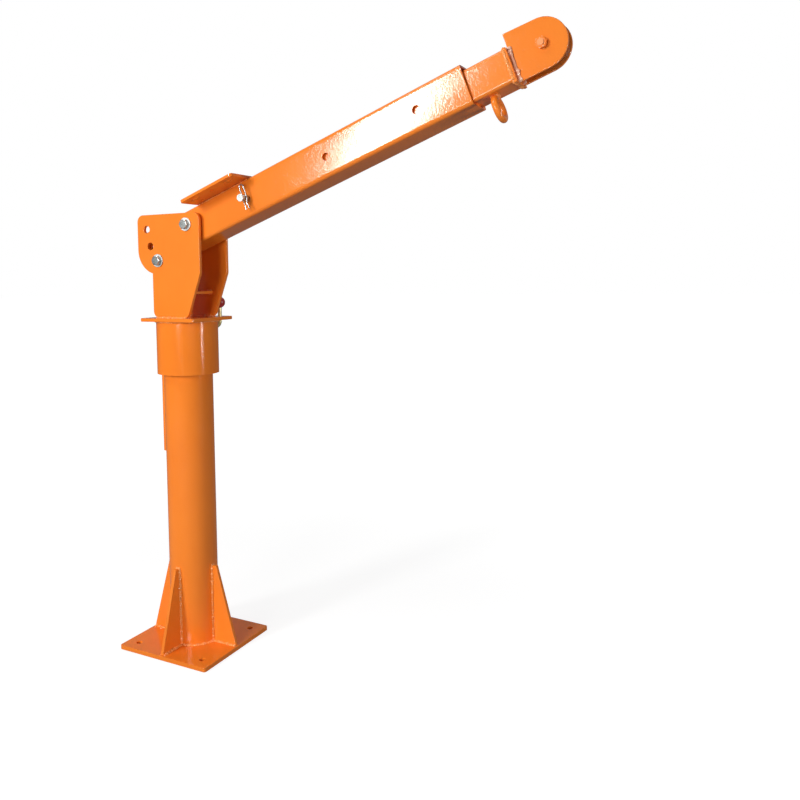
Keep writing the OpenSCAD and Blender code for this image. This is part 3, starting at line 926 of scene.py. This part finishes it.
@dataclass
class Extension:
    """Inner boom with the head, its bolt and the eye ring."""

    bench: Bench
    welds: WeldTree
    axes: BoomFrame
    bead: float = 3.5 * MM
    cheek_bead: float = 5.0 * MM
    cheek_lead: float = 2.2 * MM
    cheek_foot_gap: float = 4 * MM
    cheek_top_gap: float = 2 * MM
    tube_corner: float = 5 * MM
    eye_half_width: float = 12 * MM
    eye_points: int = 28

    def build(self) -> None:
        """Makes the pieces of the inner boom."""
        fin = self.bench.finishes
        painted = {"inner_boom": 0.7, "head_end_plate": 0.9, "head_cheek_near": 1.3,
                   "head_cheek_far": 1.3}
        for node, width in painted.items():
            self.bench.rounded(node, Body.EXTENSION, Slot.PAINT, fin.paint, width * MM)
        for node in ("sheave_bolt", "sheave_nut"):
            self.bench.rounded(node, Body.EXTENSION, Slot.PAINT, fin.handled, 0.7 * MM, 18.0)
        self.bench.rounded("eye_ring", Body.EXTENSION, Slot.PAINT, fin.paint, 0.2 * MM, 50.0)
        fin.dress("sheave_spacers", fin.turned)
        self.welds.lay(self.bench, "extension_welds", Body.EXTENSION, self.tube_runs(), self.bead, 11)
        # The cheek beads take the paler paint, a painted highlight for glare.
        self.welds.lay(self.bench, "head_cheek_welds", Body.EXTENSION, self.cheek_runs(),
                       self.cheek_bead, 13, fin.painted_glare)

    def tube_runs(self) -> list[list[Vector]]:
        """The beads round the tube's end and at the ring's foot."""
        at = self.axes.at
        tube_low, tube_high = self.axes.box("inner_boom")
        corner = self.tube_corner
        loop = [(tube_low.y, tube_low.z + corner), (tube_low.y, tube_high.z - corner),
                (tube_low.y + corner, tube_high.z), (tube_high.y - corner, tube_high.z),
                (tube_high.y, tube_high.z - corner), (tube_high.y, tube_low.z + corner),
                (tube_high.y - corner, tube_low.z), (tube_low.y + corner, tube_low.z),
                (tube_low.y, tube_low.z + corner)]
        low, high = self.axes.box("eye_ring")
        foot = ring(at((low.x + high.x) / 2, 0, tube_low.z), self.axes.along * (high.x - low.x) / 2,
                    self.axes.across * self.eye_half_width, self.eye_points)
        return [[at(tube_high.x, y, v) for y, v in loop], foot]

    def cheek_runs(self) -> list[list[Vector]]:
        """The heavier beads along both faces of the head cheeks."""
        plate_low, plate_high = self.axes.box("head_end_plate")
        runs = []
        for cheek in ("head_cheek_near", "head_cheek_far"):
            low, high = self.axes.box(cheek)
            for y in (low.y, high.y):
                s = low.x + self.cheek_lead
                runs.append(line(self.axes.at(s, y, plate_low.z + self.cheek_foot_gap),
                                 self.axes.at(s, y, plate_high.z - self.cheek_top_gap)))
        return runs


@dataclass
class SheaveWheel:
    """Grooved wheel on its bronze bush."""

    bench: Bench

    def build(self) -> None:
        """Makes the wheel and dresses its bush."""
        fin = self.bench.finishes
        self.bench.rounded("sheave", Body.SHEAVE, Slot.ZINC, fin.turned, 0.5 * MM)
        fin.dress("sheave_bush", fin.bronze)


@dataclass(frozen=True)
class Lamp:
    """One soft lamp, placed by its direction from the crane."""

    name: str
    azimuth: float
    elevation: float
    distance: float
    size: tuple[float, float]
    share: float
    aim: Point = (0.3, 0.0, 0.8)

    def place(self) -> Vector:
        """Where the lamp hangs."""
        a, e = math.radians(self.azimuth), math.radians(self.elevation)
        away = Vector((math.cos(a) * math.cos(e), math.sin(a) * math.cos(e), math.sin(e)))
        return Vector(self.aim) + self.distance * away

    def watts(self) -> float:
        """Power at which a facing surface gets the lamp's share of plain light."""
        return self.share * (math.pi * self.distance) ** 2


@dataclass
class Studio:
    """Camera, lamps, world and floor."""

    focal_px: float = 816.5
    image_px: float = 800.0
    centre_px: tuple[float, float] = (327.2, 336.8)
    place: Point = (1.2331, -1.5084, 0.8762)
    yaw: float = 29.54
    pitch: float = -4.34
    roll: float = -0.81
    floor_reach: float = 30.0
    floor_grey: float = 0.25
    floor_near: float = 0.84
    floor_gain: float = 0.13
    floor_fade: tuple[float, float] = (0.5, 2.2)
    mirrored: float = 0.25
    floor_mirrored: float = 0.05
    sky: float = 0.03
    dome: float = 0.76
    dome_side: Point = (-0.50, 0.866, 0.0)
    dome_edge: tuple[float, float] = (0.15, 0.65)
    lamps: tuple[Lamp, ...] = (Lamp("key", -111.6, 15.4, 4.25, (0.62, 1.2), 0.60),
                               Lamp("front", -84.0, 2.0, 2.6, (0.7, 0.7), 0.40, (0.1, 0.0, 1.0)),
                               Lamp("high", -125.0, 52.0, 3.8, (1.2, 1.2), 0.16),
                               Lamp("fill", -42.0, 10.0, 3.8, (1.8, 1.8), 0.05),
                               Lamp("streak", 4.0, 2.0, 3.2, (0.14, 0.8), 0.28))

    def build(self) -> None:
        """Makes the camera and the light."""
        self.camera()
        self.floor()
        self.world()
        for lamp in self.lamps:
            self.hang(lamp)
        bpy.context.scene.view_settings.view_transform = "Standard"

    def camera(self) -> None:
        """Places the camera at the photograph's view."""
        data = bpy.data.cameras.new("camera")
        data.sensor_width = 36.0
        data.lens = self.focal_px / self.image_px * data.sensor_width
        data.shift_x = 0.5 - self.centre_px[0] / self.image_px
        data.shift_y = self.centre_px[1] / self.image_px - 0.5
        data.clip_start, data.clip_end = 0.05, 100.0
        yaw, pitch, roll = (math.radians(a) for a in (self.yaw, self.pitch, self.roll))
        turn_z = Matrix.Rotation(-yaw, 3, "Z")
        turn_x = Matrix.Rotation(-pitch, 3, "X")
        turn_y = Matrix.Rotation(roll, 3, "Y")
        rows = turn_y @ turn_x @ turn_z
        right, ahead, up = (Vector(rows[i]) for i in range(3))
        camera = placed("camera", data)
        pose = Matrix((right, up, -ahead)).transposed().to_4x4()
        pose.translation = Vector(self.place)
        camera.matrix_world = pose
        bpy.context.scene.camera = camera

    def hang(self, lamp: Lamp) -> None:
        """Hangs one lamp.

        Args:
            lamp: its place, size and share of the light.
        """
        data = bpy.data.lights.new(lamp.name, "AREA")
        data.shape = "RECTANGLE"
        data.size, data.size_y = lamp.size
        data.energy = lamp.watts()
        obj = placed(lamp.name, data)
        obj.location = lamp.place()
        obj.rotation_mode = "QUATERNION"
        obj.rotation_quaternion = (Vector(lamp.aim) - lamp.place()).to_track_quat("-Z", "Y")

    def seen(self, sh: Shader, mirrored: float) -> Val:
        """Share of white that the eye, a reflection and a refraction see, and 0 for bounced light.

        Args:
            sh: the floor's or the world's shader.
            mirrored: share of white in a reflection.

        Returns:
            The share.
        """
        path = sh.node("ShaderNodeLightPath", {}, {}).outputs
        camera, glossy, through = (Val(sh, path[name]) for name in (
            "Is Camera Ray", "Is Glossy Ray", "Is Transmission Ray"))
        return (camera + glossy * mirrored + through).clamped()

    def floor(self) -> None:
        """Lays a pale floor that looks white and keeps the crane's shadow."""
        half = self.floor_reach
        mesh = bpy.data.meshes.new("floor")
        mesh.from_pydata([(-half, -half, 0), (half, -half, 0), (half, half, 0), (-half, half, 0)],
                         [], [(0, 1, 2, 3)])
        sh = Shader("pale_floor")
        away = Val(sh, sh.node("ShaderNodeVectorMath", {"operation": "LENGTH"},
                               {0: sh.place}).outputs["Value"])
        white = away.step(*self.floor_fade) * self.floor_gain + self.floor_near
        lift = self.seen(sh, self.floor_mirrored) * white
        grey = (self.floor_grey,) * 3
        mesh.materials.append(sh.surface(Base_Color=grey, Roughness=0.9, Specular_IOR_Level=0.0,
                                         Emission_Color=lift, Emission_Strength=1.0))
        floor = placed("floor", mesh)

    def world(self) -> None:
        """White to the eye, a faint light on the crane, and a wide soft dome behind it."""
        world = bpy.data.worlds.new("studio")
        world.use_nodes = True
        sh = Shader("studio_sky", world.node_tree)
        facing = Val(sh, sh.node("ShaderNodeVectorMath", {"operation": "DOT_PRODUCT"},
                                 {0: sh.place, 1: self.dome_side}).outputs["Value"])
        dome = facing.step(*self.dome_edge) * self.dome * (1.0 - self.seen(sh, 1.0))
        light = self.seen(sh, self.mirrored) * (1.0 - self.sky) + dome + self.sky
        back = sh.node("ShaderNodeBackground", {}, {"Color": (1.0, 1.0, 1.0), "Strength": light})
        sh.node("ShaderNodeOutputWorld", {}, {"Surface": back.outputs[0]})
        bpy.context.scene.world = world


def main() -> None:
    """Builds the crane's looks in order."""
    logging.basicConfig(level=logging.INFO, format="%(name)s: %(message)s")
    finishes = Finishes()
    bench = Bench(finishes)
    welds = WeldTree()
    axes = BoomFrame()
    MastBase(bench, welds).build()
    SlewingHead(bench, welds).build()
    LockLever(bench).build()
    SlewHandle(bench).build()
    Boom(bench, welds, axes).build()
    Extension(bench, welds, axes).build()
    SheaveWheel(bench).build()
    Studio().build()


if __name__ == "__main__":
    main()
